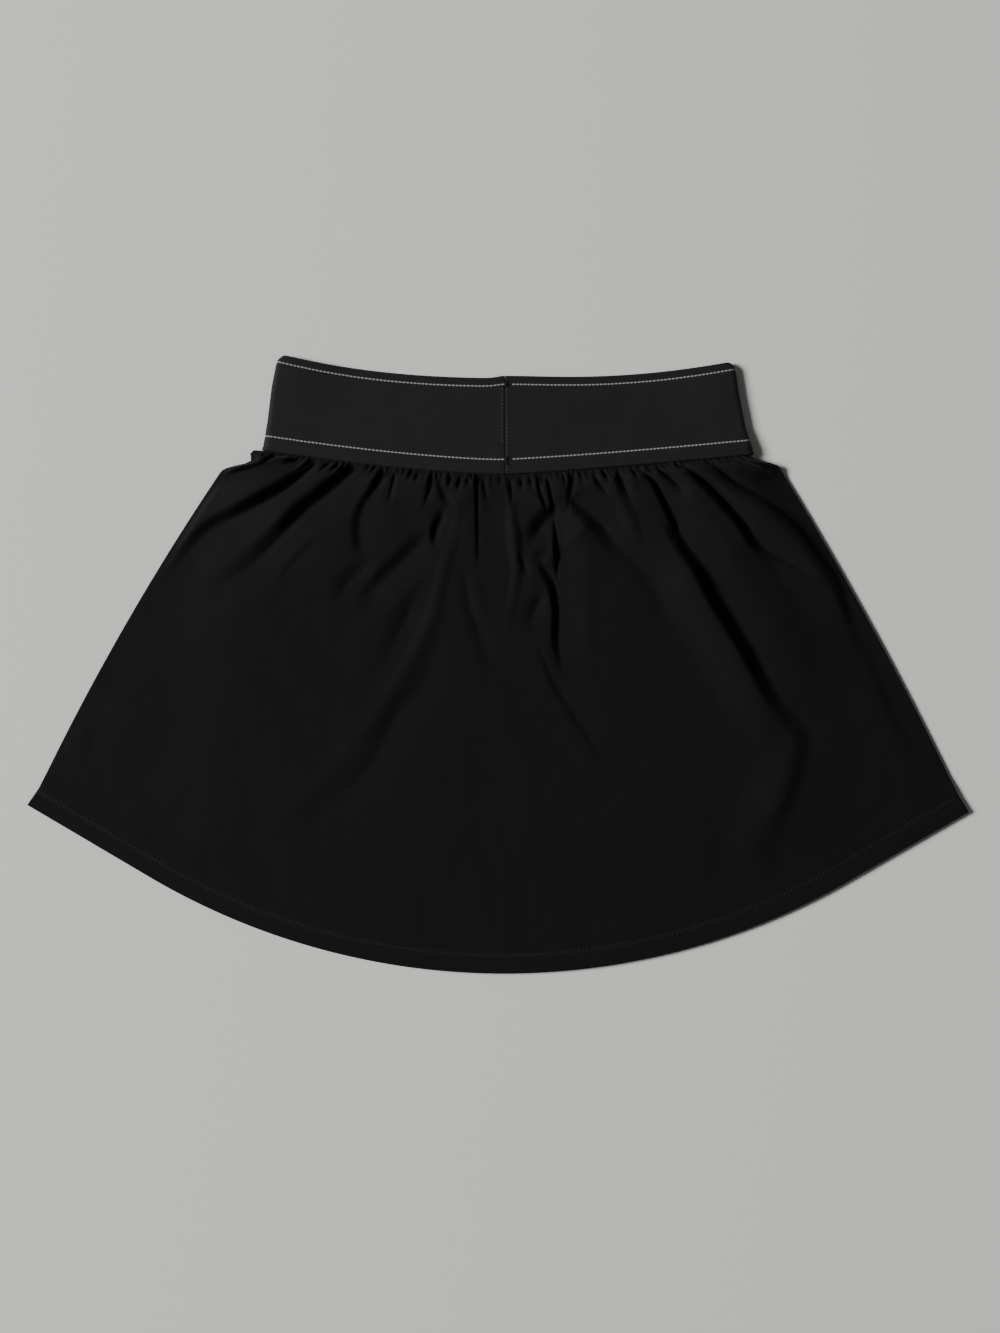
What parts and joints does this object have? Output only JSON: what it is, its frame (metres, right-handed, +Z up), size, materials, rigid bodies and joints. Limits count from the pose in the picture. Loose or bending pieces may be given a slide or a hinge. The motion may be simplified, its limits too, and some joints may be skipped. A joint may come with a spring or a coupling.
{
  "type": "tennis skort",
  "caption": "Black flared tennis skort laid flat, back side up: wide elastic waistband, gathered skirt panels and hidden inner shorts.",
  "frame": {"origin": "middle of the garment's bounding box at the surface that it lies on", "axes": "+Z up out of the back side, +Y from the hem to the waist, +X to the garment's right as it lies"},
  "size_m": [0.6204, 0.4079, 0.0174],
  "materials": {
    "waistband_elastic": "black woven elastic, matt with a faint rib",
    "skirt_cloth": "black stretch jersey, matt with a soft sheen",
    "shorts_cloth": "black stretch knit, slightly smooth",
    "grey_thread": "grey polyester sewing thread",
    "black_thread": "black polyester sewing thread"
  },
  "bodies": {
    "root": {"waistband": "waistband_elastic", "skirt_back": "skirt_cloth", "skirt_front": "skirt_cloth", "shorts_front_left": "shorts_cloth", "shorts_front_right": "shorts_cloth", "shorts_back_left": "shorts_cloth", "shorts_back_right": "shorts_cloth"}
  },
  "joints": []
}
